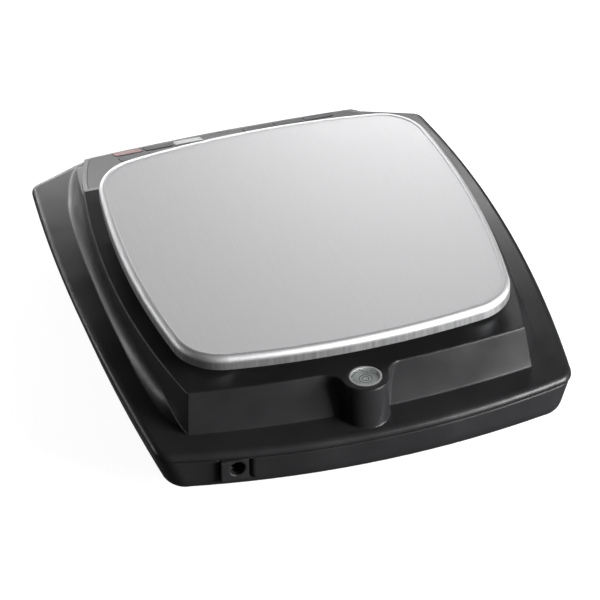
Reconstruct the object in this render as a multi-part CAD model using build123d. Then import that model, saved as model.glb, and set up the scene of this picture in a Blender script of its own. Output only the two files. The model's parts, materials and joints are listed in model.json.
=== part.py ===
from build123d import *
import math
import os

# Counting scale. Millimetres, +Z up, origin on the table under the middle of the case.
# The console faces -Y, the bubble level and the DC inlet face +Y.

# ---- Case outline, in plan: four outward-bowed sides ----
CASE_HALF_WIDTH = 128.4
CASE_REAR = 155.7
CASE_FRONT = 155.7
SIDE_ARC_R = 1092.0
REAR_ARC_R = 500.0
FRONT_ARC_R = 600.0
CREST_Y = 12.5
REAR_CORNER_R = 11.0
FRONT_CUT_X = 82.0
FRONT_CUT_ANGLE = 27.0
FRONT_CUT_R = 40.0
FRONT_CORNER_R = 7.5
CASE_WALL = 2.5

# ---- Case heights: the parting line is arched in side view ----
FOOT_HEIGHT = 6.0
PARTING_PEAK = 35.0
PARTING_R = 1250.0
PARTING_GAP = 0.6
LEDGE_RISE = 4.2
RIM_ROUND = 3.4
BOTTOM_ROUND = 10.0
SIDE_LEAN = 18.0
CORNER_SOFTENING = 5.0
PLATFORM_TOP = 58.0
LIP_WIDTH = 1.0
LIP_RISE = 1.2
LIP_DEPTH = 5.0

# ---- Raised platform: steep band above a cove that flares out to the ledge ----
TOP_HALF_WIDTH = 110.0
TOP_ARC_R = 488.0
TOP_ARC_Y = 15.0
TOP_REAR = 130.1
TOP_REAR_R = 642.0
REAR_WALL_LEAN = 14.0
BAND_HEIGHT = 5.5
BAND_DRAFT = 0.15
BAND_DROP = 18.0
BAND_DROP_START = 40.0
BAND_DROP_SPAN = 78.0
COVE_FOOT = 115.6
COVE_FOOT_Y = 35.0
COVE_SAG = 0.15

# ---- Pillar and bubble level ----
PILLAR_R = 13.3
PILLAR_STAND_OUT = 7.7
PILLAR_BLEND_R = 11.0
VIAL_R = 9.2
VIAL_DEPTH = 7.0
VIAL_WALL = 1.2

# ---- Console ----
CONSOLE_REAR = -80.2
CONSOLE_SLOPE = 22.5
BEZEL_THICK = 2.6
BEZEL_FRAME = 3.2
BEZEL_EDGE = 1.0
OVERLAY_THICK = 0.9
WINDOW_WIDTH = 50.0
WINDOW_HEIGHT = 17.0
WINDOW_PITCH = 56.0
WINDOW_V = -17.0
KEY_WIDTH = 16.6
KEY_HEIGHT = 9.4
KEY_PITCH_X = 18.5
KEY_PITCH_V = 14.6
KEY_LAST_V = -70.6
KEY_BLOCK_X = (-60.0, 19.5)
KEY_COLUMNS = 3
KEY_ROWS = 3
KEY_PROUD = 0.4
KEY_TRAVEL = 0.8
KEY_FLANGE = 1.0
KEY_CLEARANCE = 0.3
BOARD_THICK = 1.6
DISPLAY_BOARD_DEPTH = 6.5
SWITCH_HEIGHT = 1.6

# ---- Weighing pan and what carries it ----
PAN_HALF_WIDTH = 103.5
PAN_HALF_DEPTH = 105.9
PAN_SIDE_R = 510.0
PAN_END_R = 456.0
PAN_CORNER_R = 29.6
PAN_Y = 20.4
PAN_TOP = 75.8
PAN_HEIGHT = 8.6
PAN_SHEET = 1.0
PAN_EDGE_R = 3.4
PAN_RECESS = 0.25
PAN_BORDER = 3.6
CROSS_THICK = 6.0
CROSS_ARM_WIDTH = 20.0
CROSS_REACH = 76.0
CROSS_GAP = 3.0
CUSHION_R = 12.0
POST_R = 12.0
POST_HOLE_CLEARANCE = 4.0
CELL_LENGTH = 130.0
CELL_WIDTH = 30.0
CELL_HEIGHT = 22.0
CELL_HOLE_R = 7.0
CELL_BOLT_SPACING = 20.0
SPACER_HEIGHT = 4.0
BEAM_THICK = 6.0
CROSS_BOLT_X = 6.0

# ---- Feet ----
FOOT_X = 96.0
FOOT_FRONT_Y = -112.0
FOOT_REAR_Y = 118.0
FOOT_PAD_R = 11.0
FOOT_GAP = 0.5
FOOT_SCREW_R = 3.0
FOOT_INSERT_R = 5.4
FOOT_BOSS_R = 8.0
FOOT_BOSS_TOP = 20.0
FOOT_SCREW_TOP = 23.0
FOOT_SOCKET_DEPTH = 3.5

# ---- Power ----
JACK_X = 78.5
JACK_Z = 21.6
JACK_HOLE_R = 4.5
JACK_PLATE_WIDTH = 19.0
JACK_PLATE_BOTTOM = 13.4
JACK_PLATE_FACE = 150.5
JACK_PLATE_THICK = 5.5
JACK_LENGTH = 14.0
BATTERY_LENGTH = 134.0
BATTERY_WIDTH = 61.0
BATTERY_HEIGHT = 34.0
BATTERY_X = 60.5
BATTERY_Y = 7.0
STRAP_THICK = 2.0
STRAP_SLACK = 0.5
STRAP_TAB = 13.0
STRAP_WIDTH = 20.0
STRAP_Y = 40.0
COVER_MARGIN = 5.0
COVER_THICK = 1.4

# ---- Main board ----
MAIN_BOARD_LOW = (12.0, 93.0)
MAIN_BOARD_HIGH = (87.0, 142.5)
BOARD_CHIPS = ((32, 118, 10, 10, 2.0), (50, 108, 8, 14, 2.4), (30, 134, 12, 7, 6.0))
BOARD_CANS = ((64, 104), (72, 112))
CAN_R = 4.0
CAN_HEIGHT = 9.0
MAIN_BOARD_Z = 13.4

# ---- Fasteners ----
SCREW_R = 1.5
SCREW_HEAD_R = 2.9
SCREW_HEAD_HEIGHT = 2.2
CASE_BOSS_R = 4.8
CASE_SCREW_HEAD_Z = 12.0
CASE_SCREW_SPOTS = [(100.0, 8.0), (97.0, 100.0), (78.0, -128.0)]
CASE_SCREW_BITE = 4.0
BOLT_R = 3.0
BOLT_HEAD_R = 5.0
BOLT_HEAD_HEIGHT = 4.0

# ---- Fits ----
SEAT_GAP = 0.05
PANEL_GAP = 0.15
RUN_FIT = 0.08

TAN_SLOPE = math.tan(math.radians(CONSOLE_SLOPE))
COS_SLOPE = math.cos(math.radians(CONSOLE_SLOPE))
SIN_SLOPE = math.sin(math.radians(CONSOLE_SLOPE))
FLOOR_TOP = FOOT_HEIGHT + CASE_WALL
CELL_BOTTOM = FLOOR_TOP + SPACER_HEIGHT
CELL_TOP = CELL_BOTTOM + CELL_HEIGHT
BEAM_TOP = CELL_TOP + SPACER_HEIGHT + BEAM_THICK
CROSS_BOTTOM = PLATFORM_TOP + CROSS_GAP
CROSS_TOP = CROSS_BOTTOM + CROSS_THICK
PAN_UNDERSIDE = PAN_TOP - PAN_SHEET
PILLAR_Y = TOP_REAR + PILLAR_STAND_OUT
BIG = 400.0

console = Plane(origin=(0, CONSOLE_REAR, PLATFORM_TOP), x_dir=(1, 0, 0), z_dir=(0, -SIN_SLOPE, COS_SLOPE))


def parting_z(y):
    return PARTING_PEAK - PARTING_R + math.sqrt(PARTING_R**2 - (y - CREST_Y) ** 2)


def console_z(y):
    return PLATFORM_TOP + (y - CONSOLE_REAR) * TAN_SLOPE


def box(x0, x1, y0, y1, z0, z1):
    return Pos((x0 + x1) / 2, (y0 + y1) / 2, (z0 + z1) / 2) * Box(x1 - x0, y1 - y0, z1 - z0)


def rod(x, y, z0, z1, r):
    return Pos(x, y, (z0 + z1) / 2) * Cylinder(r, z1 - z0)


def slab(x0, x1, v0, v1, n0, n1):
    """Box in the console's own axes: x across, v up the slope, n out of it."""
    return console.location * box(x0, x1, v0, v1, n0, n1)


def tilted_rod(x, v, n0, n1, r):
    return console.location * rod(x, v, n0, n1, r)


def corner_point(side_centre_x, side_r, end_centre_y, end_r):
    """Outer crossing of a side arc centred on the X axis and an end arc centred on the Y axis."""
    span = math.hypot(side_centre_x, end_centre_y)
    along = (side_r**2 - end_r**2 + span**2) / (2 * span)
    off = math.sqrt(side_r**2 - along**2)
    ux = -side_centre_x / span
    uy = end_centre_y / span
    ends = [
        (side_centre_x + along * ux - k * off * uy, along * uy + k * off * ux) for k in (-1, 1)
    ]
    return max(ends)


def bowed(half_width, rear, front, side_r, rear_r, front_r, crest, rear_round, front_round):
    """Plan face with four outward-bowed sides. It is widest at y = crest; front is a distance to -Y."""
    up = rear - crest
    down = front + crest
    x1, y1 = corner_point(half_width - side_r, side_r, up - rear_r, rear_r)
    x2, y2 = corner_point(half_width - side_r, side_r, down - front_r, front_r)
    right_rear = (x1, crest + y1)
    left_rear = (-x1, crest + y1)
    left_front = (-x2, crest - y2)
    right_front = (x2, crest - y2)
    with BuildSketch() as sketch:
        with BuildLine():
            ThreePointArc(right_rear, (0, rear), left_rear)
            ThreePointArc(left_rear, (-half_width, crest), left_front)
            ThreePointArc(left_front, (0, -front), right_front)
            ThreePointArc(right_front, (half_width, crest), right_rear)
        make_face()
        fillet([v for v in sketch.vertices() if v.Y > crest], rear_round)
        fillet(sketch.vertices().sort_by(Axis.Y)[:2], front_round)
    return sketch.sketch.face()


def line_meets_circle(point, angle, centre, r, far):
    """Crossing of a line with a circle; far picks the one further along the line."""
    ux, uy = math.cos(angle), math.sin(angle)
    dx, dy = point[0] - centre[0], point[1] - centre[1]
    half = ux * dx + uy * dy
    root = math.sqrt(half**2 - (dx**2 + dy**2 - r**2))
    step = -half + (root if far else -root)
    return (point[0] + step * ux, point[1] + step * uy)


def case_outline(inset, side_in=0.0, side_r=SIDE_ARC_R, softer=0.0):
    """Plan of the case taken in by inset; the sides can come in further, with softer corners."""
    half_width = CASE_HALF_WIDTH - side_in - inset
    rear = CASE_REAR - inset
    front = CASE_FRONT - inset
    side_r -= inset
    rear_r = REAR_ARC_R - inset
    front_r = FRONT_ARC_R - inset
    x1, y1 = corner_point(half_width - side_r, side_r, rear - CREST_Y - rear_r, rear_r)
    y1 += CREST_Y
    cut = math.radians(FRONT_CUT_ANGLE)
    on_front = FRONT_ARC_R - CASE_FRONT - math.sqrt(FRONT_ARC_R**2 - FRONT_CUT_X**2)
    start = (FRONT_CUT_X - inset * math.sin(cut), on_front + inset * math.cos(cut))
    x2, y2 = line_meets_circle(start, cut, (half_width - side_r, CREST_Y), side_r, True)
    x3, y3 = line_meets_circle(start, cut, (0, front_r - front), front_r, False)
    with BuildSketch() as sketch:
        with BuildLine():
            ThreePointArc((x1, y1), (0, rear), (-x1, y1))
            ThreePointArc((-x1, y1), (-half_width, CREST_Y), (-x2, y2))
            Line((-x2, y2), (-x3, y3))
            ThreePointArc((-x3, y3), (0, -front), (x3, y3))
            Line((x3, y3), (x2, y2))
            ThreePointArc((x2, y2), (half_width, CREST_Y), (x1, y1))
        make_face()
        rear_corners = sketch.vertices().filter_by_position(Axis.Y, CREST_Y, CASE_REAR)
        fillet(rear_corners, REAR_CORNER_R + softer - inset)
        front_corners = sketch.vertices().filter_by(lambda v: v.Y < CREST_Y and abs(v.X) > x3 + 1)
        fillet(front_corners, FRONT_CORNER_R + softer - inset)
        front_bends = sketch.vertices().filter_by(lambda v: v.Y < CREST_Y and abs(abs(v.X) - x3) < 0.5)
        fillet(front_bends, FRONT_CUT_R)
    return sketch.sketch.face()


def tub(inset, z0):
    """Solid under the parting line: upright ends, sides that lean in, a soft bottom edge."""
    lean = math.tan(math.radians(SIDE_LEAN))
    side_r = 1 / (1 / SIDE_ARC_R - lean / PARTING_R)
    top_z = PARTING_PEAK + 2
    top = Pos(0, 0, top_z) * case_outline(inset, lean * (PARTING_PEAK - top_z), side_r)
    bottom = Pos(0, 0, z0) * case_outline(inset, lean * (PARTING_PEAK - z0), side_r, CORNER_SOFTENING)
    solid = loft([top, bottom], ruled=True)
    return fillet(solid.faces().sort_by(Axis.Z)[0].edges(), BOTTOM_ROUND - inset)


def case_prism(inset, z0, z1):
    return extrude(Pos(0, 0, z0) * case_outline(inset), z1 - z0)


def below_arch(rise):
    """Everything under the parting line's arch, raised by rise."""
    return Pos(0, CREST_Y, PARTING_PEAK - PARTING_R) * Rot(0, 90, 0) * Cylinder(PARTING_R + rise, BIG)


# ---- Upper case surfaces ----
def top_half_width(y):
    return TOP_HALF_WIDTH - TOP_ARC_R + math.sqrt(TOP_ARC_R**2 - (y - TOP_ARC_Y) ** 2)


def cove_foot(y):
    """Half width of the line where the cove meets the ledge; it sweeps in beside the console."""
    t = (COVE_FOOT_Y - y) / 100
    return COVE_FOOT - (3.6 * t**2 + 0.12 * t**8 if t > 0 else 2.2 * t**2)


def band_bottom(y):
    """Height of the line between the steep band and the cove."""
    drop = max(y - BAND_DROP_START, 0) / BAND_DROP_SPAN
    on_platform = PLATFORM_TOP - BAND_HEIGHT - BAND_DROP * drop**2
    on_console = console_z(y) - BEZEL_THICK / COS_SLOPE
    return max(min(on_platform, on_console), parting_z(y) + LEDGE_RISE + 0.8)


def side_section(y, inset):
    """Cross-section of the platform and its coves at one y."""
    top = PLATFORM_TOP - inset
    band_z = band_bottom(y)
    foot_z = parting_z(y) + LEDGE_RISE - 1.5 - inset
    top_x = top_half_width(y) - inset
    band_x = top_half_width(y) + BAND_DRAFT * (PLATFORM_TOP - band_z) - inset
    foot_x = max(cove_foot(y), band_x + inset + 1.0) - inset
    run, fall = foot_x - band_x, band_z - foot_z
    sag = COVE_SAG * min(1.0, fall / run)
    mid = ((band_x + foot_x) / 2 - sag * fall, (band_z + foot_z) / 2 - sag * run)
    at = Plane(origin=(0, y, 0), x_dir=(1, 0, 0), z_dir=(0, -1, 0))
    with BuildSketch(at) as sketch:
        with BuildLine():
            Line((top_x, top), (band_x, band_z))
            ThreePointArc((band_x, band_z), mid, (foot_x, foot_z))
            Line((foot_x, foot_z), (-foot_x, foot_z))
            ThreePointArc((-foot_x, foot_z), (-mid[0], mid[1]), (-band_x, band_z))
            Line((-band_x, band_z), (-top_x, top))
            Line((-top_x, top), (top_x, top))
        make_face()
    return sketch.sketch.face()


def rear_limit(inset):
    """Everything in front of the leaning, bowed rear wall: a big cylinder tipped back."""
    tipped = Pos(0, TOP_REAR, PLATFORM_TOP) * Rot(REAR_WALL_LEAN, 0, 0) * Pos(0, -TOP_REAR_R, 0)
    return tipped * Cylinder(TOP_REAR_R - inset, BIG)


def pillar(inset):
    """Pillar for the level with its concave blends into the rear wall."""
    blend = PILLAR_BLEND_R + inset
    reach = PILLAR_R + PILLAR_BLEND_R
    line_y = TOP_REAR - 0.45
    centre_y = line_y + PILLAR_BLEND_R
    half = math.sqrt(reach**2 - (centre_y - PILLAR_Y) ** 2)
    ux, uy = half / reach, (centre_y - PILLAR_Y) / reach
    r = PILLAR_R - inset
    touch = (r * ux, PILLAR_Y + r * uy)
    bisect = math.atan2(-uy, -ux) / 2 + math.radians(-90) / 2
    mid = (half + blend * math.cos(bisect), centre_y + blend * math.sin(bisect))
    with BuildSketch(Plane.XY.offset(PARTING_PEAK - 10)) as sketch:
        with BuildLine():
            Polyline(
                (-half, line_y - inset), (-half, line_y - 12), (half, line_y - 12), (half, line_y - inset)
            )
            ThreePointArc((half, line_y - inset), mid, touch)
            Line(touch, (-touch[0], touch[1]))
            ThreePointArc((-touch[0], touch[1]), (-mid[0], mid[1]), (-half, line_y - inset))
        make_face()
        with Locations((0, PILLAR_Y)):
            Circle(r)
    return extrude(sketch.sketch, PLATFORM_TOP - inset - PARTING_PEAK + 10)


def upper_envelope(inset):
    """Outer shape of the upper half, taken in by inset all round."""
    kink = CONSOLE_REAR - (BAND_HEIGHT - BEZEL_THICK / COS_SLOPE) / TAN_SLOPE
    behind = [kink, -60, -30, 0, 30, 55, 75, 95, 115, 135, 160]
    ahead = [-160 - inset, -152, -142, -130, -116, -100, kink]
    core = loft([side_section(y, inset) for y in behind])
    core += loft([side_section(y, inset) for y in ahead])
    core &= rear_limit(inset)
    core += pillar(inset)
    above_panel_seat = slab(-BIG / 2, BIG / 2, -BIG, 0.0, -BEZEL_THICK - inset, BIG / 2)
    core -= above_panel_seat
    rim = case_prism(inset, 0, PLATFORM_TOP) & below_arch(LEDGE_RISE - inset)
    if inset == 0:
        top = rim.faces().sort_by(Axis.Z)[-1]
        rim = fillet(top.edges(), RIM_ROUND) - (above_panel_seat & console_plan(-PANEL_GAP))
    else:
        rim -= above_panel_seat
    core &= case_prism(inset, 0, PLATFORM_TOP + 1)
    return core + rim


def boss_spots():
    return [(sx * x, y) for x, y in CASE_SCREW_SPOTS for sx in (-1, 1)]


def foot_spots():
    return {
        "front_left": (-FOOT_X, FOOT_FRONT_Y),
        "front_right": (FOOT_X, FOOT_FRONT_Y),
        "rear_left": (-FOOT_X, FOOT_REAR_Y),
        "rear_right": (FOOT_X, FOOT_REAR_Y),
    }


def key_spots():
    """Centres of the keys in the console's own axes, row by row from the top."""
    spots = {}
    number = 0
    for row in range(KEY_ROWS):
        v = KEY_LAST_V + (KEY_ROWS - 1 - row) * KEY_PITCH_V
        for start in KEY_BLOCK_X:
            for column in range(KEY_COLUMNS):
                number += 1
                spots[f"key_{number:02d}"] = (start + column * KEY_PITCH_X, v)
    return spots


def window_spots():
    return {
        "lcd_weight": (-WINDOW_PITCH, WINDOW_V),
        "lcd_unit_weight": (0.0, WINDOW_V),
        "lcd_count": (WINDOW_PITCH, WINDOW_V),
    }


def board_post_spots():
    above_keys = KEY_LAST_V + KEY_ROWS * KEY_PITCH_V - 3.6
    between_blocks = -2.0
    return [
        (-64.0, above_keys),
        (0.0, above_keys),
        (64.0, above_keys),
        (between_blocks, KEY_LAST_V + 1.5 * KEY_PITCH_V),
        (between_blocks, KEY_LAST_V + 0.3 * KEY_PITCH_V),
    ]


def jack_bay(gap, depth=JACK_PLATE_THICK):
    return box(
        JACK_X - JACK_PLATE_WIDTH / 2 - gap,
        JACK_X + JACK_PLATE_WIDTH / 2 + gap,
        JACK_PLATE_FACE - depth,
        JACK_PLATE_FACE,
        JACK_PLATE_BOTTOM - gap,
        PARTING_PEAK,
    )


# ---- Case ----
def make_upper_case():
    outer = upper_envelope(0)
    shell = outer - upper_envelope(CASE_WALL)
    posts = rod(0, PILLAR_Y, PLATFORM_TOP - VIAL_DEPTH - CASE_WALL, PLATFORM_TOP, PILLAR_R - 0.5)
    for x, y in boss_spots():
        posts += rod(x, y, 0, PLATFORM_TOP, CASE_BOSS_R)
    shell += posts & outer
    shell -= below_arch(PARTING_GAP / 2)
    for x, y in boss_spots():
        tip = parting_z(y) + CASE_SCREW_BITE + 0.4
        shell -= rod(x, y, 0, tip, SCREW_R + SEAT_GAP)
    shell -= rod(0, PAN_Y, CELL_TOP, PLATFORM_TOP + 1, POST_R + POST_HOLE_CLEARANCE)
    shell -= rod(0, PILLAR_Y, PLATFORM_TOP - VIAL_DEPTH, PLATFORM_TOP + 1, VIAL_R + SEAT_GAP)
    shell -= console_openings()
    return shell


def console_bay():
    """Room under the panel's front edge for the flanges of the lowest row of keys."""
    depth = BEZEL_THICK + KEY_FLANGE + KEY_TRAVEL + 2 * CASE_WALL
    return slab(-CASE_HALF_WIDTH, CASE_HALF_WIDTH, -BIG / 2, 0, -depth, BIG / 4)


def console_openings():
    """Openings of the console deck under the panel: displays above, keys below."""
    half_windows = WINDOW_PITCH + WINDOW_WIDTH / 2 + 1.5
    half_keys = abs(KEY_BLOCK_X[0]) + KEY_WIDTH / 2 + 2.0
    low = KEY_LAST_V - KEY_HEIGHT / 2 - 1.2
    split = WINDOW_V - WINDOW_HEIGHT / 2 - 2.5
    high = WINDOW_V + WINDOW_HEIGHT / 2 + 2.0
    deep = -BEZEL_THICK - 3 * CASE_WALL
    return slab(-half_windows, half_windows, split, high, deep, 0) + slab(
        -half_keys, half_keys, low, split + 1, deep, 0
    )


def make_lower_case():
    case = (tub(0, FOOT_HEIGHT) - tub(CASE_WALL, FLOOR_TOP)) & below_arch(-PARTING_GAP / 2)
    case += lip()
    for x, y in boss_spots():
        case += rod(x, y, FLOOR_TOP - 1, parting_z(y) - PARTING_GAP, CASE_BOSS_R)
        case -= rod(x, y, 0, CASE_SCREW_HEAD_Z, SCREW_HEAD_R + 0.3)
        case -= rod(x, y, 0, PARTING_PEAK, SCREW_R + 0.2)
    for x, y in foot_spots().values():
        case += rod(x, y, FLOOR_TOP - 1, FOOT_BOSS_TOP, FOOT_BOSS_R)
        case -= rod(x, y, 0, FOOT_BOSS_TOP + 1, FOOT_INSERT_R + SEAT_GAP)
    for x, y in main_board_posts():
        case += rod(x, y, FLOOR_TOP - 1, MAIN_BOARD_Z - SEAT_GAP, 3.0)
        case -= rod(x, y, FLOOR_TOP, MAIN_BOARD_Z + 1, SCREW_R + SEAT_GAP)
    for y in bottom_bolt_rows():
        case -= rod(0, y, 0, FLOOR_TOP + 1, BOLT_R + 0.2)
    for x, y in stop_spots():
        case += rod(x, y, FLOOR_TOP - 1, FLOOR_TOP + 1.5, 4.0)
        case -= rod(x, y, 0, FLOOR_TOP + 2, 2.0 + SEAT_GAP)
    for x, y in strap_screw_spots():
        case += rod(x, y, FLOOR_TOP - 1, FLOOR_TOP + 4, 4.0)
    x0, x1, y0, y1 = battery_box()
    case -= box(x0 - 0.4, x1 + 0.4, y0 - 1.5, y1 + 1.5, 0, FLOOR_TOP + 1)
    margin = COVER_MARGIN + 0.3
    case -= box(x0 - margin, x1 + margin, y0 - margin, y1 + margin, 0, FOOT_HEIGHT + COVER_THICK + 0.1)
    for x, y in cover_screw_spots():
        case += rod(x, y, FOOT_HEIGHT + COVER_THICK + 0.1, FLOOR_TOP + 5, 3.6)
        case -= rod(x, y, 0, FLOOR_TOP + 4, SCREW_R + SEAT_GAP)
    case -= jack_bay(SEAT_GAP + 0.05)
    return case


def lip():
    """Ring inside the parting line that keeps the two halves aligned."""
    ring_in = CASE_WALL + PARTING_GAP / 2
    low = case_prism(CASE_WALL - 0.2, FOOT_HEIGHT, PARTING_PEAK + 4)
    low -= case_prism(ring_in + LIP_WIDTH, 0, PARTING_PEAK + 5)
    low = (low & below_arch(-PARTING_GAP / 2)) - below_arch(-LIP_DEPTH)
    high = case_prism(ring_in, FOOT_HEIGHT, PARTING_PEAK + 4)
    high -= case_prism(ring_in + LIP_WIDTH, 0, PARTING_PEAK + 5)
    high = (high & below_arch(LIP_RISE)) - below_arch(-LIP_DEPTH + 1)
    return low + high - console_bay() - jack_bay(SEAT_GAP, JACK_PLATE_THICK + 2 * LIP_WIDTH)


def make_case_screws():
    screws = []
    for x, y in boss_spots():
        tip = parting_z(y) + CASE_SCREW_BITE
        head = rod(x, y, CASE_SCREW_HEAD_Z - SCREW_HEAD_HEIGHT, CASE_SCREW_HEAD_Z, SCREW_HEAD_R)
        head -= rod(x, y, 0, CASE_SCREW_HEAD_Z - 1, 1.2)
        screws.append(head + rod(x, y, CASE_SCREW_HEAD_Z - 1, tip, SCREW_R))
    return screws


# ---- Console ----
def console_plan(inset):
    """Prism over the console, bounded by the case's front and by the platform's side arcs."""
    front = CASE_FRONT + 40
    x0 = top_half_width(-front) - inset
    x1 = top_half_width(CONSOLE_REAR) - inset
    mid_y = (CONSOLE_REAR - front) / 2
    mid_x = top_half_width(mid_y) - inset
    with BuildSketch() as sketch:
        with BuildLine():
            ThreePointArc((x0, -front), (mid_x, mid_y), (x1, CONSOLE_REAR))
            Line((x1, CONSOLE_REAR), (-x1, CONSOLE_REAR))
            ThreePointArc((-x1, CONSOLE_REAR), (-mid_x, mid_y), (-x0, -front))
            Line((-x0, -front), (x0, -front))
        make_face()
    return extrude(sketch.sketch, PLATFORM_TOP) & case_prism(BEZEL_EDGE + inset, 0, PLATFORM_TOP)


def make_console_bezel():
    bezel = slab(-BIG / 2, BIG / 2, -BIG / 2, -PANEL_GAP, SEAT_GAP - BEZEL_THICK, 0)
    bezel &= console_plan(0)
    bezel -= overlay_blank(-PANEL_GAP)
    for x, v in window_spots().values():
        bezel -= console.location * Pos(x, v, 0) * Box(WINDOW_WIDTH + 0.4, WINDOW_HEIGHT + 0.4, 20)
    for x, v in key_spots().values():
        bezel -= console.location * Pos(x, v, 0) * key_prism(KEY_CLEARANCE, -10, 10)
    for x, v in board_post_spots():
        bezel += tilted_rod(x, v, -DISPLAY_BOARD_DEPTH + SEAT_GAP, -BEZEL_THICK + 0.5, 3.0)
        bezel -= tilted_rod(x, v, -DISPLAY_BOARD_DEPTH, -BEZEL_THICK, SCREW_R + SEAT_GAP)
    return bezel


def overlay_blank(gap):
    """Printed overlay's outline and thickness, shrunk by gap."""
    plan = console_plan(BEZEL_FRAME + gap)
    return plan & slab(-BIG / 2, BIG / 2, -BIG / 2, -BEZEL_FRAME - gap, -OVERLAY_THICK, 5)


def key_prism(grow, n0, n1):
    face = RectangleRounded(KEY_WIDTH + 2 * grow, KEY_HEIGHT + 2 * grow, 1.6)
    return Pos(0, 0, n0) * extrude(face, n1 - n0)


def make_console_overlay():
    sheet = overlay_blank(0) & slab(
        -BIG / 2, BIG / 2, -BIG, 0, -OVERLAY_THICK + SEAT_GAP, 0
    )
    for x, v in window_spots().values():
        sheet -= console.location * Pos(x, v, 0) * Box(WINDOW_WIDTH + 0.4, WINDOW_HEIGHT + 0.4, 20)
    for x, v in key_spots().values():
        sheet -= console.location * Pos(x, v, 0) * key_prism(KEY_CLEARANCE, -10, 10)
    return sheet


def make_key(x, v):
    """Cap that stands a little proud of the overlay, with a retaining flange under the panel."""
    cap = key_prism(0, -BEZEL_THICK - KEY_FLANGE - 0.3, KEY_PROUD)
    cap = fillet(cap.faces().sort_by(Axis.Z)[-1].edges(), 0.3)
    flange = key_prism(KEY_CLEARANCE + 0.5, -BEZEL_THICK - KEY_FLANGE - 0.3, -BEZEL_THICK - 0.3)
    return console.location * Pos(x, v, 0) * (cap + flange)


def make_display_window():
    return [
        console.location * Pos(x, v, -1.25) * Box(WINDOW_WIDTH, WINDOW_HEIGHT, 2.2)
        for x, v in window_spots().values()
    ]


def make_lcd(x, v):
    top = -2.45
    bottom = -DISPLAY_BOARD_DEPTH + SEAT_GAP
    glass = Pos(x, v, (top + bottom) / 2) * Box(WINDOW_WIDTH + 3.0, WINDOW_HEIGHT + 3.0, top - bottom)
    face = Pos(x, v, top) * Box(WINDOW_WIDTH + 4, WINDOW_HEIGHT + 4, 0.5)
    lip_cut = face - Pos(x, v, top) * Box(WINDOW_WIDTH, WINDOW_HEIGHT, 2)
    return console.location * (glass - lip_cut)


def make_display_board():
    half_windows = WINDOW_PITCH + WINDOW_WIDTH / 2 + 3
    half_keys = abs(KEY_BLOCK_X[0]) + KEY_WIDTH / 2
    split = WINDOW_V - WINDOW_HEIGHT / 2 - 4
    n1 = -DISPLAY_BOARD_DEPTH
    n0 = n1 - BOARD_THICK
    high = WINDOW_V + WINDOW_HEIGHT / 2 + 3
    low = KEY_LAST_V - KEY_HEIGHT / 2
    board = box(-half_windows, half_windows, split, high, n0, n1)
    board += box(-half_keys, half_keys, low, split, n0, n1)
    for x, v in key_spots().values():
        board += rod(x, v, n1 - 0.2, n1 + SWITCH_HEIGHT, 3.0)
    for x, v in board_post_spots():
        board -= rod(x, v, n0 - 1, n1 + 1, SCREW_R + 0.2)
    return console.location * board


def make_display_board_screws():
    low = -DISPLAY_BOARD_DEPTH - BOARD_THICK
    screws = []
    for x, v in board_post_spots():
        head = tilted_rod(x, v, low - SCREW_HEAD_HEIGHT, low - SEAT_GAP, SCREW_HEAD_R)
        head -= tilted_rod(x, v, low - SCREW_HEAD_HEIGHT - 1, low - 1.2, 1.2)
        screws.append(head + tilted_rod(x, v, low - 0.5, -BEZEL_THICK - 0.8, SCREW_R))
    return screws


# ---- Pan, support and load cell ----
def pan_outline(inset):
    return bowed(
        PAN_HALF_WIDTH - inset,
        PAN_HALF_DEPTH - inset,
        PAN_HALF_DEPTH - inset,
        PAN_SIDE_R - inset,
        PAN_END_R - inset,
        PAN_END_R - inset,
        0.0,
        PAN_CORNER_R - inset,
        PAN_CORNER_R - inset,
    )


def pan_blank(inset, z0, edge_r):
    blank = extrude(Pos(0, PAN_Y, z0) * pan_outline(inset), PAN_TOP - inset - z0)
    return fillet(blank.faces().sort_by(Axis.Z)[-1].edges(), edge_r)


def make_pan():
    bottom = PAN_TOP - PAN_HEIGHT
    pan = pan_blank(0, bottom, PAN_EDGE_R) - pan_blank(PAN_SHEET, bottom - 1, PAN_EDGE_R - PAN_SHEET)
    return pan - extrude(Pos(0, PAN_Y, PAN_TOP - PAN_RECESS) * pan_outline(PAN_BORDER), 1.0)


def cushion_spots():
    return [(sx * CROSS_REACH, PAN_Y + sy * CROSS_REACH) for sx in (-1, 1) for sy in (-1, 1)]


def make_pan_cross():
    arm = math.hypot(CROSS_REACH, CROSS_REACH) * 2
    flat = Pos(0, PAN_Y, (CROSS_BOTTOM + CROSS_TOP) / 2)
    cross = flat * Rot(0, 0, 45) * Box(arm, CROSS_ARM_WIDTH, CROSS_THICK)
    cross += flat * Rot(0, 0, -45) * Box(arm, CROSS_ARM_WIDTH, CROSS_THICK)
    for x, y in cushion_spots():
        cross += rod(x, y, CROSS_BOTTOM, CROSS_TOP, CUSHION_R + 1.5)
    cross += rod(0, PAN_Y, CROSS_BOTTOM, CROSS_TOP, POST_R + 10)
    cross += rod(0, PAN_Y, BEAM_TOP + SEAT_GAP, CROSS_TOP, POST_R)
    for x in (-CROSS_BOLT_X, CROSS_BOLT_X):
        cross -= rod(x, PAN_Y, 0, PAN_TOP, 2.2)
    return cross


def make_pan_cushions():
    low = CROSS_TOP + SEAT_GAP
    return [rod(x, y, low, PAN_UNDERSIDE - SEAT_GAP, CUSHION_R) for x, y in cushion_spots()]


def make_cross_bolts():
    bolts = []
    for x in (-CROSS_BOLT_X, CROSS_BOLT_X):
        head = rod(x, PAN_Y, CROSS_TOP + SEAT_GAP, CROSS_TOP + 3.5, 3.8)
        head -= rod(x, PAN_Y, CROSS_TOP + 1.5, CROSS_TOP + 4, 1.7)
        bolts.append(head + rod(x, PAN_Y, BEAM_TOP - BEAM_THICK + 1, CROSS_TOP + 1, 2.0))
    return bolts


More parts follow.
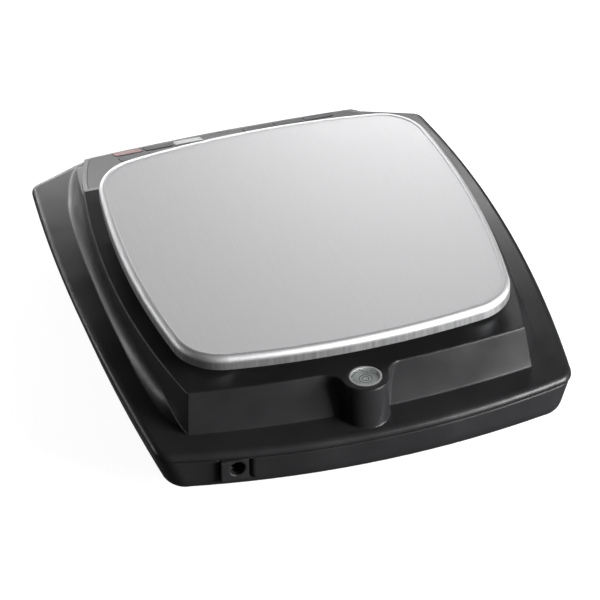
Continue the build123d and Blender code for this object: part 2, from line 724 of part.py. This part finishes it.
def cell_end(side):
    """Middle of the bolt pair at one end of the load cell; side is -1 at the fixed, front end."""
    return PAN_Y + side * (CELL_LENGTH / 2 - 20.0)


def bottom_bolt_rows():
    return [cell_end(-1) + k * CELL_BOLT_SPACING / 2 for k in (-1, 1)]


def top_bolt_rows():
    return [cell_end(1) + k * CELL_BOLT_SPACING / 2 for k in (-1, 1)]


def make_load_cell():
    half = CELL_LENGTH / 2
    cell = box(-CELL_WIDTH / 2, CELL_WIDTH / 2, PAN_Y - half, PAN_Y + half, CELL_BOTTOM, CELL_TOP)
    middle = (CELL_BOTTOM + CELL_TOP) / 2
    for y in (PAN_Y - 11, PAN_Y + 11):
        cell -= Pos(0, y, middle) * Rot(0, 90, 0) * Cylinder(CELL_HOLE_R, CELL_WIDTH + 2)
    cell -= box(-CELL_WIDTH, CELL_WIDTH, PAN_Y - 11, PAN_Y + 11, middle - 2.5, middle + 2.5)
    for y in bottom_bolt_rows() + top_bolt_rows():
        cell -= rod(0, y, CELL_BOTTOM - 1, CELL_TOP + 1, BOLT_R + SEAT_GAP)
    return cell


def make_bottom_spacer():
    y = cell_end(-1)
    half = CELL_WIDTH / 2
    spacer = box(-half, half, y - 19, y + 19, FLOOR_TOP + SEAT_GAP, CELL_BOTTOM - SEAT_GAP)
    for row in bottom_bolt_rows():
        spacer -= rod(0, row, FLOOR_TOP - 1, CELL_BOTTOM + 1, BOLT_R + 0.2)
    return spacer


def make_bottom_cell_bolts():
    bolts = []
    for y in bottom_bolt_rows():
        head = rod(0, y, FOOT_HEIGHT - BOLT_HEAD_HEIGHT, FOOT_HEIGHT - SEAT_GAP, BOLT_HEAD_R)
        head -= rod(0, y, FOOT_HEIGHT - BOLT_HEAD_HEIGHT - 1, FOOT_HEIGHT - 2, 2.2)
        bolts.append(head + rod(0, y, FOOT_HEIGHT - 1, CELL_BOTTOM + 10, BOLT_R))
    return bolts


def make_carrier_beam():
    y1 = cell_end(1) + 18
    y0 = PAN_Y - 16
    low = CELL_TOP + SPACER_HEIGHT
    beam = box(-CELL_WIDTH / 2 + 1, CELL_WIDTH / 2 - 1, y0, y1, low, BEAM_TOP)
    beam += box(-CELL_WIDTH / 2 + 1, CELL_WIDTH / 2 - 1, cell_end(1) - 18, y1, CELL_TOP + SEAT_GAP, low)
    for y in top_bolt_rows():
        beam -= rod(0, y, CELL_TOP - 1, BEAM_TOP + 1, BOLT_R + 0.2)
    for x in (-CROSS_BOLT_X, CROSS_BOLT_X):
        beam -= rod(x, PAN_Y, low - 1, BEAM_TOP + 1, 2.0 + SEAT_GAP)
    return beam


def make_top_cell_bolts():
    bolts = []
    for y in top_bolt_rows():
        head = rod(0, y, BEAM_TOP + SEAT_GAP, BEAM_TOP + BOLT_HEAD_HEIGHT, BOLT_HEAD_R)
        head -= rod(0, y, BEAM_TOP + 2, BEAM_TOP + 5, 2.2)
        bolts.append(head + rod(0, y, CELL_TOP - 10, BEAM_TOP + 1, BOLT_R))
    return bolts


def stop_spots():
    return [(sx * 9.0, cell_end(1)) for sx in (-1, 1)]


def make_overload_stops():
    """Grub screws in the floor; they stop the free end of the cell after a small fall."""
    return [rod(x, y, FOOT_HEIGHT + 0.5, CELL_BOTTOM - 0.8, 2.0) for x, y in stop_spots()]


def make_cell_cable():
    side = -CELL_WIDTH / 2 - SEAT_GAP
    board_z = MAIN_BOARD_Z + BOARD_THICK + 1.8
    points = [
        (side, -8, CELL_BOTTOM + 9),
        (side - 13, -8, CELL_BOTTOM + 9),
        (side - 13, 42, CELL_BOTTOM + 7),
        (side - 13, 98, board_z + 0.6),
        (side + 3, 106, board_z),
        (MAIN_BOARD_LOW[0] + 6, 106, board_z),
    ]
    path = FilletPolyline(*points, radius=[6.0, 60.0, 7.0, 7.0])
    start = Plane(origin=path @ 0, z_dir=path % 0)
    return sweep(start * Circle(1.6), path=path)


# ---- Feet ----
def make_foot_pad(x, y):
    top = FOOT_HEIGHT - FOOT_GAP
    pad = rod(x, y, 0, top, FOOT_PAD_R)
    pad = chamfer(pad.faces().sort_by(Axis.Z)[-1].edges(), 1.2)
    return pad - rod(x, y, top - FOOT_SOCKET_DEPTH, FOOT_HEIGHT, FOOT_SCREW_R + RUN_FIT)


def make_foot_screw(x, y):
    bottom = FOOT_HEIGHT - FOOT_GAP - FOOT_SOCKET_DEPTH + SEAT_GAP
    return rod(x, y, bottom, FOOT_SCREW_TOP, FOOT_SCREW_R)


def make_foot_inserts():
    inserts = []
    for x, y in foot_spots().values():
        sleeve = rod(x, y, FOOT_HEIGHT + 0.4, FOOT_BOSS_TOP, FOOT_INSERT_R)
        inserts.append(sleeve - rod(x, y, 0, FOOT_BOSS_TOP + 1, FOOT_SCREW_R + RUN_FIT))
    return inserts


# ---- Power and main board ----
def battery_box():
    return (
        BATTERY_X - BATTERY_WIDTH / 2,
        BATTERY_X + BATTERY_WIDTH / 2,
        BATTERY_Y - BATTERY_LENGTH / 2,
        BATTERY_Y + BATTERY_LENGTH / 2,
    )


def battery_bottom():
    return FOOT_HEIGHT + COVER_THICK + 0.1


def make_battery():
    x0, x1, y0, y1 = battery_box()
    low = battery_bottom()
    body = box(x0, x1, y0, y1, low, low + BATTERY_HEIGHT)
    body = fillet(body.edges().filter_by(Axis.Z), 2.0)
    for x in (x0 + 12, x1 - 12):
        body += box(x - 2.4, x + 2.4, y0 - 5.5, y0 + 1, low + 20, low + 20.8)
    return body


def strap_screw_spots():
    x0, x1, _, _ = battery_box()
    return [(x0 - 9.0, STRAP_Y), (x1 + 9.0, STRAP_Y)]


def make_battery_strap():
    x0, x1, _, _ = battery_box()
    low = FLOOR_TOP + 4 + SEAT_GAP
    top = battery_bottom() + BATTERY_HEIGHT + SEAT_GAP
    y0, y1 = STRAP_Y - STRAP_WIDTH / 2, STRAP_Y + STRAP_WIDTH / 2
    inner = (x1 - x0) / 2 + STRAP_SLACK
    outer = inner + STRAP_THICK
    tab = (x1 - x0) / 2 + STRAP_TAB
    strap = box(-outer, outer, y0, y1, top, top + STRAP_THICK)
    for side in (-1, 1):
        strap += box(*sorted((side * inner, side * outer)), y0, y1, low, top + STRAP_THICK)
        strap += box(*sorted((side * inner, side * tab)), y0, y1, low, low + STRAP_THICK)
    return Pos((x0 + x1) / 2, 0, 0) * strap


def cover_screw_spots():
    _, _, y0, y1 = battery_box()
    return [(BATTERY_X, y0 - 4.8), (BATTERY_X, y1 + 4.8)]


def make_battery_cover():
    x0, x1, y0, y1 = battery_box()
    m = COVER_MARGIN
    cover = box(x0 - m, x1 + m, y0 - m, y1 + m, FOOT_HEIGHT, FOOT_HEIGHT + COVER_THICK)
    ears = [rod(x, y, FOOT_HEIGHT, FOOT_HEIGHT + COVER_THICK, 1.0) for x, y in cover_screw_spots()]
    for ear in ears:
        cover += ear
    for x, y in cover_screw_spots():
        cover -= rod(x, y, 0, FOOT_HEIGHT + 3, SCREW_R + 0.2)
    return cover


def make_battery_cover_screws():
    screws = []
    for x, y in cover_screw_spots():
        head = rod(x, y, FOOT_HEIGHT - 1.8, FOOT_HEIGHT - SEAT_GAP, SCREW_HEAD_R)
        head -= rod(x, y, FOOT_HEIGHT - 3, FOOT_HEIGHT - 1, 1.2)
        screws.append(head + rod(x, y, FOOT_HEIGHT - 0.9, FLOOR_TOP + 3.5, SCREW_R))
    return screws


def make_jack_plate():
    plate = jack_bay(0) & below_arch(-PARTING_GAP / 2)
    return plate - Pos(JACK_X, JACK_PLATE_FACE, JACK_Z) * Rot(90, 0, 0) * Cylinder(JACK_HOLE_R, 20)


def make_dc_jack():
    y1 = JACK_PLATE_FACE - JACK_PLATE_THICK - SEAT_GAP
    y0 = y1 - JACK_LENGTH
    low = MAIN_BOARD_Z + BOARD_THICK + SEAT_GAP
    body = box(JACK_X - 4.5, JACK_X + 4.5, y0, y1, low, JACK_Z + 5.2)
    body -= Pos(JACK_X, y1, JACK_Z) * Rot(90, 0, 0) * Cylinder(3.15, 20)
    pin = Pos(JACK_X, (y0 + y1 - 1) / 2, JACK_Z) * Rot(90, 0, 0) * Cylinder(1.0, y1 - y0 - 1)
    return body + pin


def main_board_posts():
    x0, y0 = MAIN_BOARD_LOW
    x1, y1 = MAIN_BOARD_HIGH
    return [(x0 + 5, y0 + 5), (x1 - 5, y0 + 5), (x0 + 5, y1 - 12), (x1 - 26, y1 - 6)]


def make_main_board():
    x0, y0 = MAIN_BOARD_LOW
    x1, y1 = MAIN_BOARD_HIGH
    top = MAIN_BOARD_Z + BOARD_THICK
    board = box(x0, x1, y0, y1, MAIN_BOARD_Z, top)
    for x, y, w, d, h in BOARD_CHIPS:
        board += box(x - w / 2, x + w / 2, y - d / 2, y + d / 2, top - 0.2, top + h)
    for x, y in BOARD_CANS:
        board += rod(x, y, top - 0.2, top + CAN_HEIGHT, CAN_R)
    for x, y in main_board_posts():
        board -= rod(x, y, MAIN_BOARD_Z - 1, top + 1, SCREW_R + 0.2)
    return board


def make_main_board_screws():
    top = MAIN_BOARD_Z + BOARD_THICK
    screws = []
    for x, y in main_board_posts():
        head = rod(x, y, top + SEAT_GAP, top + SCREW_HEAD_HEIGHT, SCREW_HEAD_R)
        head -= rod(x, y, top + 1, top + 3, 1.2)
        screws.append(head + rod(x, y, FLOOR_TOP + 1, top + 0.5, SCREW_R))
    return screws


# ---- Bubble level ----
def make_level_vial():
    cup = rod(0, PILLAR_Y, PLATFORM_TOP - VIAL_DEPTH + SEAT_GAP, PLATFORM_TOP, VIAL_R)
    return cup - rod(0, PILLAR_Y, PLATFORM_TOP - VIAL_DEPTH + 1.5, PLATFORM_TOP + 1, VIAL_R - VIAL_WALL)


def make_level_glass():
    return rod(0, PILLAR_Y, PLATFORM_TOP - 3.0, PLATFORM_TOP - 0.4, VIAL_R - VIAL_WALL - SEAT_GAP)


def build_all():
    nodes = {
        "upper_case": make_upper_case(),
        "lower_case": make_lower_case(),
        "case_screws": make_case_screws(),
        "console_bezel": make_console_bezel(),
        "console_overlay": make_console_overlay(),
        "display_window": make_display_window(),
        "display_board": make_display_board(),
        "display_board_screws": make_display_board_screws(),
        "pan": make_pan(),
        "pan_cross": make_pan_cross(),
        "pan_cushions": make_pan_cushions(),
        "cross_bolts": make_cross_bolts(),
        "carrier_beam": make_carrier_beam(),
        "top_cell_bolts": make_top_cell_bolts(),
        "load_cell": make_load_cell(),
        "bottom_spacer": make_bottom_spacer(),
        "bottom_cell_bolts": make_bottom_cell_bolts(),
        "overload_stops": make_overload_stops(),
        "cell_cable": make_cell_cable(),
        "foot_inserts": make_foot_inserts(),
        "battery": make_battery(),
        "battery_strap": make_battery_strap(),
        "battery_cover": make_battery_cover(),
        "battery_cover_screws": make_battery_cover_screws(),
        "jack_plate": make_jack_plate(),
        "dc_jack": make_dc_jack(),
        "main_board": make_main_board(),
        "main_board_screws": make_main_board_screws(),
        "level_vial": make_level_vial(),
        "level_glass": make_level_glass(),
    }
    for name, (x, v) in window_spots().items():
        nodes[name] = make_lcd(x, v)
    for name, (x, v) in key_spots().items():
        nodes[name] = make_key(x, v)
    for name, (x, y) in foot_spots().items():
        nodes[f"foot_pad_{name}"] = make_foot_pad(x, y)
        nodes[f"foot_screw_{name}"] = make_foot_screw(x, y)
    return nodes


os.makedirs("parts", exist_ok=True)
for node_name, shape in build_all().items():
    solids = shape if isinstance(shape, list) else [shape]
    flat = [solid for piece in solids for solid in piece.solids()]
    export_step(Compound(children=flat) if len(flat) > 1 else flat[0], f"parts/{node_name}.step")
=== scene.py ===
import json
import math

import bmesh
import bpy
from mathutils import Matrix, Vector


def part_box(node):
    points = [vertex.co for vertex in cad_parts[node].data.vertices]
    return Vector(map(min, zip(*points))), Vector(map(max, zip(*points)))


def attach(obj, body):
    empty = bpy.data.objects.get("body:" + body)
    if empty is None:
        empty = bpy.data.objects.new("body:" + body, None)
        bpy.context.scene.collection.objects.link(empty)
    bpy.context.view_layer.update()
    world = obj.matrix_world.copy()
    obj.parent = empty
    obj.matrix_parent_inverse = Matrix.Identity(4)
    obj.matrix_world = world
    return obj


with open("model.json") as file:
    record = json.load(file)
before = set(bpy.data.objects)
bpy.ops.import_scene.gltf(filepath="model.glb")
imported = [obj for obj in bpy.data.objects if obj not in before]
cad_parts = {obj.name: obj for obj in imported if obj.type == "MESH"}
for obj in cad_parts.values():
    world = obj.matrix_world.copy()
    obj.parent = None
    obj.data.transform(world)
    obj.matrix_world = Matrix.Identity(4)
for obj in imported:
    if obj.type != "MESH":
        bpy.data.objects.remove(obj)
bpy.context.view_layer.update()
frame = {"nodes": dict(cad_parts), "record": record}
MM = 0.001
GLOSS_SPREAD = 0.06

# ---- Viewpoint ----
CAMERA_AZIMUTH = math.radians(163.418)
CAMERA_ELEVATION = math.radians(36.618)
CAMERA_ROLL = math.radians(-1.0)
CAMERA_DISTANCE = 3.7878
CAMERA_LENS = 408.08
CAMERA_TARGET = Vector((0.02047, 0.082, 0.0758))

# ---- Sizes of the looks-only pieces, in metres ----
FLOOR_HALF = 10.0
WALL_HEIGHT = 12.0
# Band below the pan's top where the skirt's painted shade fades in
SHADED_SKIRT_START = 4.6 * MM
SHADED_SKIRT_END = 2.6 * MM
LATHE_STEPS = 64
LIQUID_DEPTH = 2.2 * MM
RING_RADII = (1.9 * MM, 3.6 * MM)
RING_WIDTH = 0.35 * MM
RING_THICK = 0.08 * MM
BUBBLE_RADIUS = 1.6 * MM
BUBBLE_RISE = 0.07 * MM
GLASS_GAP = 0.05 * MM
LIQUID_GAP = 0.3 * MM
BUBBLE_SHIFT = (0.3 * MM, 0.5 * MM)


# ---- Shader helpers ----
def new_material(name):
    material = bpy.data.materials.new(name)
    material.use_nodes = True
    nodes = material.node_tree.nodes
    nodes.clear()
    output = nodes.new("ShaderNodeOutputMaterial")
    shader = nodes.new("ShaderNodeBsdfPrincipled")
    material.node_tree.links.new(shader.outputs["BSDF"], output.inputs["Surface"])
    return material, shader


def add(material, kind, **values):
    node = material.node_tree.nodes.new(kind)
    for key, value in values.items():
        setattr(node, key, value)
    return node


def link(material, source, target):
    material.node_tree.links.new(source, target)


def object_coordinates(material, scale=(1, 1, 1)):
    coordinates = add(material, "ShaderNodeTexCoord")
    mapping = add(material, "ShaderNodeMapping")
    mapping.inputs["Scale"].default_value = scale
    link(material, coordinates.outputs["Object"], mapping.inputs["Vector"])
    return mapping.outputs["Vector"]


def noise(material, vector, scale, detail=3.0, roughness=0.55):
    node = add(material, "ShaderNodeTexNoise")
    node.inputs["Scale"].default_value = scale
    node.inputs["Detail"].default_value = detail
    node.inputs["Roughness"].default_value = roughness
    link(material, vector, node.inputs["Vector"])
    return node.outputs["Fac"]


def remap(material, value, low, high, start=0.3, end=0.7):
    """Maps a texture's start..end to low..high."""
    node = add(material, "ShaderNodeMapRange")
    node.inputs["From Min"].default_value = start
    node.inputs["From Max"].default_value = end
    node.inputs["To Min"].default_value = low
    node.inputs["To Max"].default_value = high
    link(material, value, node.inputs["Value"])
    return node.outputs["Result"]


def ramp(material, value, dark, light, start=0.3, end=0.7):
    node = add(material, "ShaderNodeValToRGB")
    node.color_ramp.elements[0].position = start
    node.color_ramp.elements[0].color = (*dark, 1)
    node.color_ramp.elements[1].position = end
    node.color_ramp.elements[1].color = (*light, 1)
    link(material, value, node.inputs["Fac"])
    return node.outputs["Color"]


def soft_edges(material, radius):
    """Normal that rounds every edge of a moulding by a small radius."""
    node = add(material, "ShaderNodeBevel", samples=6)
    node.inputs["Radius"].default_value = radius
    return node.outputs["Normal"]


def bump(material, height, distance, strength, normal=None):
    node = add(material, "ShaderNodeBump")
    node.inputs["Distance"].default_value = distance
    node.inputs["Strength"].default_value = strength
    link(material, height, node.inputs["Height"])
    if normal is not None:
        link(material, normal, node.inputs["Normal"])
    return node.outputs["Normal"]


# ---- Materials ----
def moulded_plastic(name, colour, roughness, edge, grain=0.12, specular=0.5, coat=0.0):
    """Moulding with fine grain, slow changes of gloss and edges rounded by edge."""
    material, shader = new_material(name)
    shader.inputs["Specular IOR Level"].default_value = specular
    shader.inputs["Coat Weight"].default_value = coat
    vector = object_coordinates(material)
    shade = noise(material, vector, 35.0)
    lighter = tuple(c * 1.25 for c in colour)
    link(material, ramp(material, shade, colour, lighter), shader.inputs["Base Color"])
    gloss = remap(material, shade, roughness - GLOSS_SPREAD, roughness + GLOSS_SPREAD)
    link(material, gloss, shader.inputs["Roughness"])
    texture = noise(material, vector, 2600.0, detail=2.0)
    link(
        material,
        bump(material, texture, 0.00005, grain, soft_edges(material, edge)),
        shader.inputs["Normal"],
    )
    return material


def case_plastic():
    return moulded_plastic("case_plastic", (0.016, 0.016, 0.017), 0.34, 0.0018, specular=0.35)


def rubber(name, colour, roughness=0.75):
    return moulded_plastic(name, colour, roughness, 0.0004, grain=0.25, specular=0.35)


def brushed_metal(name, colour, roughness, stretch, streak=0.1, edge=0.0003):
    """Metal with long fine scratches; stretch scales the texture along X, Y and Z."""
    material, shader = new_material(name)
    shader.inputs["Metallic"].default_value = 1.0
    vector = object_coordinates(material, stretch)
    streaks = noise(material, vector, 900.0, detail=4.0, roughness=0.65)
    darker = tuple(c * 0.93 for c in colour)
    link(material, ramp(material, streaks, darker, colour), shader.inputs["Base Color"])
    gloss = remap(material, streaks, roughness - 0.05, roughness + 0.06)
    link(material, gloss, shader.inputs["Roughness"])
    link(
        material,
        bump(material, streaks, 0.00003, streak, soft_edges(material, edge)),
        shader.inputs["Normal"],
    )
    return material


def pan_steel():
    """Stainless sheet: faint long grain on top; down the bent skirt, real streaks over a darker base
    colour that is painted shade.
    """
    material, shader = new_material("pan_steel")
    shader.inputs["Metallic"].default_value = 1.0
    plain = object_coordinates(material)
    grain = noise(material, object_coordinates(material, (1, 0.04, 1)), 900.0, detail=4.0)
    streaks = noise(material, object_coordinates(material, (1, 1, 0.03)), 480.0, detail=4.0)
    split = add(material, "ShaderNodeSeparateXYZ")
    link(material, plain, split.inputs["Vector"])
    pan_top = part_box("pan")[1][2]
    top_over_shaded_skirt = remap(material, split.outputs["Z"], 0, 1, pan_top - SHADED_SKIRT_START, pan_top - SHADED_SKIRT_END)
    mix = add(material, "ShaderNodeMix", data_type="RGBA")
    link(material, top_over_shaded_skirt, mix.inputs["Factor"])
    # Painted shade: the skirt's steel base colour is darker than the top's; the streaks on it are real
    # brushing
    link(material, ramp(material, streaks, (0.26, 0.26, 0.265), (0.42, 0.42, 0.425)), mix.inputs["A"])
    link(material, ramp(material, grain, (0.76, 0.76, 0.77), (0.80, 0.80, 0.81)), mix.inputs["B"])
    link(material, mix.outputs["Result"], shader.inputs["Base Color"])
    link(material, remap(material, grain, 0.56, 0.64), shader.inputs["Roughness"])
    link(
        material,
        bump(material, grain, 0.00003, 0.01, soft_edges(material, 0.0003)),
        shader.inputs["Normal"],
    )
    return material


def circuit_board():
    return moulded_plastic("circuit_board", (0.01, 0.09, 0.035), 0.32, 0.0002, coat=0.4)


def cast_metal():
    material, shader = new_material("cast_aluminium")
    shader.inputs["Metallic"].default_value = 1.0
    vector = object_coordinates(material)
    pits = noise(material, vector, 700.0, detail=6.0, roughness=0.7)
    shade = ramp(material, pits, (0.42, 0.43, 0.44), (0.6, 0.61, 0.62))
    link(material, shade, shader.inputs["Base Color"])
    link(material, remap(material, pits, 0.45, 0.7), shader.inputs["Roughness"])
    link(
        material,
        bump(material, pits, 0.0002, 0.5, soft_edges(material, 0.0006)),
        shader.inputs["Normal"],
    )
    return material


def clear_plastic(name, tint, roughness=0.04):
    material, shader = new_material(name)
    shader.inputs["Base Color"].default_value = (*tint, 1)
    shader.inputs["Transmission Weight"].default_value = 1.0
    shader.inputs["IOR"].default_value = 1.47
    vector = object_coordinates(material)
    smears = noise(material, vector, 120.0)
    gloss = remap(material, smears, roughness * 0.5, roughness * 1.6)
    link(material, gloss, shader.inputs["Roughness"])
    return material


def overlay_film():
    """Printed membrane: dark satin film with a very fine embossed grain."""
    material, shader = new_material("overlay_film")
    vector = object_coordinates(material)
    shade = noise(material, vector, 18.0)
    link(
        material,
        ramp(material, shade, (0.020, 0.020, 0.022), (0.027, 0.027, 0.029)),
        shader.inputs["Base Color"],
    )
    shader.inputs["Roughness"].default_value = 0.42
    shader.inputs["Specular IOR Level"].default_value = 0.22
    grain = noise(material, vector, 3200.0, detail=2.0)
    link(
        material,
        bump(material, grain, 0.00003, 0.2, soft_edges(material, 0.0002)),
        shader.inputs["Normal"],
    )
    return material


def lcd_glass():
    """Unlit display: grey-green with slow changes of tone."""
    material, shader = new_material("lcd_glass")
    vector = object_coordinates(material)
    shade = noise(material, vector, 60.0)
    link(
        material,
        ramp(material, shade, (0.20, 0.235, 0.18), (0.24, 0.275, 0.215)),
        shader.inputs["Base Color"],
    )
    shader.inputs["Roughness"].default_value = 0.18
    return material


def floor_material():
    material, shader = new_material("floor")
    vector = object_coordinates(material)
    shade = noise(material, vector, 3.0)
    link(
        material,
        ramp(material, shade, (0.29, 0.29, 0.29), (0.31, 0.31, 0.31)),
        shader.inputs["Base Color"],
    )
    shader.inputs["Roughness"].default_value = 0.9
    shader.inputs["Emission Color"].default_value = (1, 1, 1, 1)
    shader.inputs["Emission Strength"].default_value = 0.93
    return material


def paint_nodes():
    finishes = {
        "case_plastic": case_plastic(),
        "panel_plastic": moulded_plastic("panel_plastic", (0.015, 0.015, 0.017), 0.36, 0.0005),
        "overlay_film": overlay_film(),
        "window_clear": clear_plastic("window_clear", (0.92, 0.95, 0.95)),
        "lcd_glass": lcd_glass(),
        "key_grey": rubber("key_grey", (0.05, 0.05, 0.055), 0.6),
        "key_red": rubber("key_red", (0.42, 0.25, 0.25), 0.6),
        "key_white": rubber("key_white", (0.72, 0.72, 0.72), 0.6),
        "pan_steel": pan_steel(),
        "cast_aluminium": cast_metal(),
        "machined_aluminium": brushed_metal(
            "machined_aluminium", (0.72, 0.73, 0.75), 0.3, (1, 0.1, 1)
        ),
        "zinc_steel": brushed_metal("zinc_steel", (0.62, 0.63, 0.65), 0.32, (1, 1, 0.2)),
        "cushion_rubber": rubber("cushion_rubber", (0.012, 0.012, 0.012)),
        "foot_rubber": rubber("foot_rubber", (0.014, 0.014, 0.014)),
        "insert_brass": brushed_metal("insert_brass", (0.72, 0.5, 0.2), 0.3, (1, 1, 0.2)),
        "board_green": circuit_board(),
        "battery_case": moulded_plastic("battery_case", (0.03, 0.033, 0.04), 0.5, 0.0006),
        "strap_steel": brushed_metal("strap_steel", (0.55, 0.56, 0.57), 0.35, (0.1, 1, 1)),
        "jack_plastic": moulded_plastic("jack_plastic", (0.008, 0.008, 0.009), 0.3, 0.0003),
        "vial_body": moulded_plastic("vial_body", (0.40, 0.40, 0.40), 0.3, 0.0003),
        "cable_sheath": rubber("cable_sheath", (0.12, 0.12, 0.125)),
    }
    for subpart in frame["record"]["subparts"]:
        node = frame["nodes"][subpart["node"]]
        node.data.materials.clear()
        node.data.materials.append(finishes[subpart["material_slot"]])


# ---- Inside of the bubble level ----
def lathe(name, profile, centre, material):
    """Closed ring or disc turned about the upright axis through centre; profile is (radius, height)."""
    mesh = bpy.data.meshes.new(name)
    form = bmesh.new()
    rings = []
    for step in range(LATHE_STEPS):
        angle = 2 * math.pi * step / LATHE_STEPS
        x, y = math.cos(angle), math.sin(angle)
        rings.append([form.verts.new((r * x, r * y, h)) for r, h in profile])
    for step in range(LATHE_STEPS):
        near, far = rings[step], rings[(step + 1) % LATHE_STEPS]
        for k in range(len(profile)):
            m = (k + 1) % len(profile)
            form.faces.new((near[k], far[k], far[m], near[m]))
    bmesh.ops.remove_doubles(form, verts=form.verts, dist=1e-7)
    bmesh.ops.recalc_face_normals(form, faces=form.faces)
    form.to_mesh(mesh)
    form.free()
    mesh.shade_smooth()
    piece = bpy.data.objects.new(name, mesh)
    bpy.context.collection.objects.link(piece)
    piece.location = centre
    mesh.materials.append(material)
    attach(piece, "case")


def dome(radius, rise):
    """Profile of a shallow dome standing on height 0."""
    steps = 8
    angles = [math.pi / 2 * k / steps for k in range(steps)]
    curve = [(radius * math.cos(a), rise * math.sin(a)) for a in angles]
    return [(0.0, 0.0), *curve, (0.0, rise)]


def make_vial_inside():
    low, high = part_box("level_glass")
    centre = Vector(((low[0] + high[0]) / 2, (low[1] + high[1]) / 2, low[2] - GLASS_GAP))
    radius = (high[0] - low[0]) / 2 - LIQUID_GAP
    liquid = moulded_plastic("vial_liquid", (0.80, 0.81, 0.79), 0.3, 0.0001, grain=0.02)
    print_black = moulded_plastic("vial_print", (0.01, 0.01, 0.01), 0.4, 0.00005)
    bubble = moulded_plastic("vial_bubble", (0.85, 0.87, 0.85), 0.12, 0.00005, grain=0.0)
    top = -2 * RING_THICK
    disc = [(0.0, top), (radius, top), (radius, -LIQUID_DEPTH), (0.0, -LIQUID_DEPTH)]
    lathe("vial_liquid", disc, centre, liquid)
    for number, ring in enumerate(RING_RADII, 1):
        inner, outer = ring - RING_WIDTH / 2, ring + RING_WIDTH / 2
        edge = [(inner, -RING_THICK), (inner, 0.0), (outer, 0.0), (outer, -RING_THICK)]
        lathe(f"vial_ring_{number}", edge, centre, print_black)
    spot = centre + Vector((*BUBBLE_SHIFT, top))
    lathe("vial_bubble", dome(BUBBLE_RADIUS, BUBBLE_RISE), spot, bubble)


# ---- Studio ----
def make_floor():
    bpy.ops.mesh.primitive_plane_add(size=2 * FLOOR_HALF, location=(0, 0, -0.0005))
    floor = bpy.context.object
    floor.name = "floor"
    bpy.ops.mesh.primitive_cylinder_add(
        vertices=96, radius=FLOOR_HALF, depth=WALL_HEIGHT, end_fill_type="NOTHING",
        location=(0, 0, WALL_HEIGHT / 2 - 1),
    )
    wall = bpy.context.object
    wall.name = "backdrop_wall"
    wall.visible_shadow = False
    white = floor_material()
    for stage in (floor, wall):
        stage.data.materials.append(white)
        stage.visible_glossy = False
        stage.visible_diffuse = False


def area_light(name, location, aim, size, power, colour=(1, 1, 1)):
    data = bpy.data.lights.new(name, "AREA")
    data.shape = "RECTANGLE"
    data.size, data.size_y = size
    data.energy = power
    data.color = colour
    light = bpy.data.objects.new(name, data)
    bpy.context.collection.objects.link(light)
    light.location = location
    light.rotation_mode = "QUATERNION"
    light.rotation_quaternion = (Vector(aim) - Vector(location)).to_track_quat("-Z", "Y")
    return light


def make_lights():
    world = bpy.data.worlds.new("studio")
    world.use_nodes = True
    background = world.node_tree.nodes["Background"]
    background.inputs["Color"].default_value = (1, 1, 1, 1)
    background.inputs["Strength"].default_value = 0.06
    bpy.context.scene.world = world
    area_light("side", (-0.88, 0.88, 0.30), (-0.05, 0.1, 0.03), (0.7, 0.6), 38)
    area_light("backdrop", (0.10, -1.15, 0.19), (0, 0, 0.06), (0.9, 0.30), 7.5)
    area_light("near", (-0.26, -0.50, 0.28), (-0.10, 0, 0.07), (0.25, 0.2), 0.9)
    area_light("rim", (1.15, -0.80, 0.16), (0, 0.0, 0.05), (1.2, 0.3), 5)


def make_camera():
    data = bpy.data.cameras.new("camera")
    data.sensor_width = 36.0
    data.lens = CAMERA_LENS
    data.clip_start = 0.1
    data.clip_end = 100.0
    camera = bpy.data.objects.new("camera", data)
    bpy.context.collection.objects.link(camera)
    sin_a, cos_a = math.sin(CAMERA_AZIMUTH), math.cos(CAMERA_AZIMUTH)
    sin_e, cos_e = math.sin(CAMERA_ELEVATION), math.cos(CAMERA_ELEVATION)
    back = Vector((sin_a * cos_e, -cos_a * cos_e, sin_e))
    right = Vector((cos_a, sin_a, 0))
    up = back.cross(right)
    sin_r, cos_r = math.sin(CAMERA_ROLL), math.cos(CAMERA_ROLL)
    x_axis = right * cos_r + up * sin_r
    y_axis = up * cos_r - right * sin_r
    turn = Matrix((x_axis, y_axis, back)).transposed().to_4x4()
    camera.matrix_world = Matrix.Translation(CAMERA_TARGET + back * CAMERA_DISTANCE) @ turn
    bpy.context.scene.camera = camera


paint_nodes()
make_vial_inside()
make_floor()
make_lights()
make_camera()
bpy.context.scene.view_settings.view_transform = "Standard"
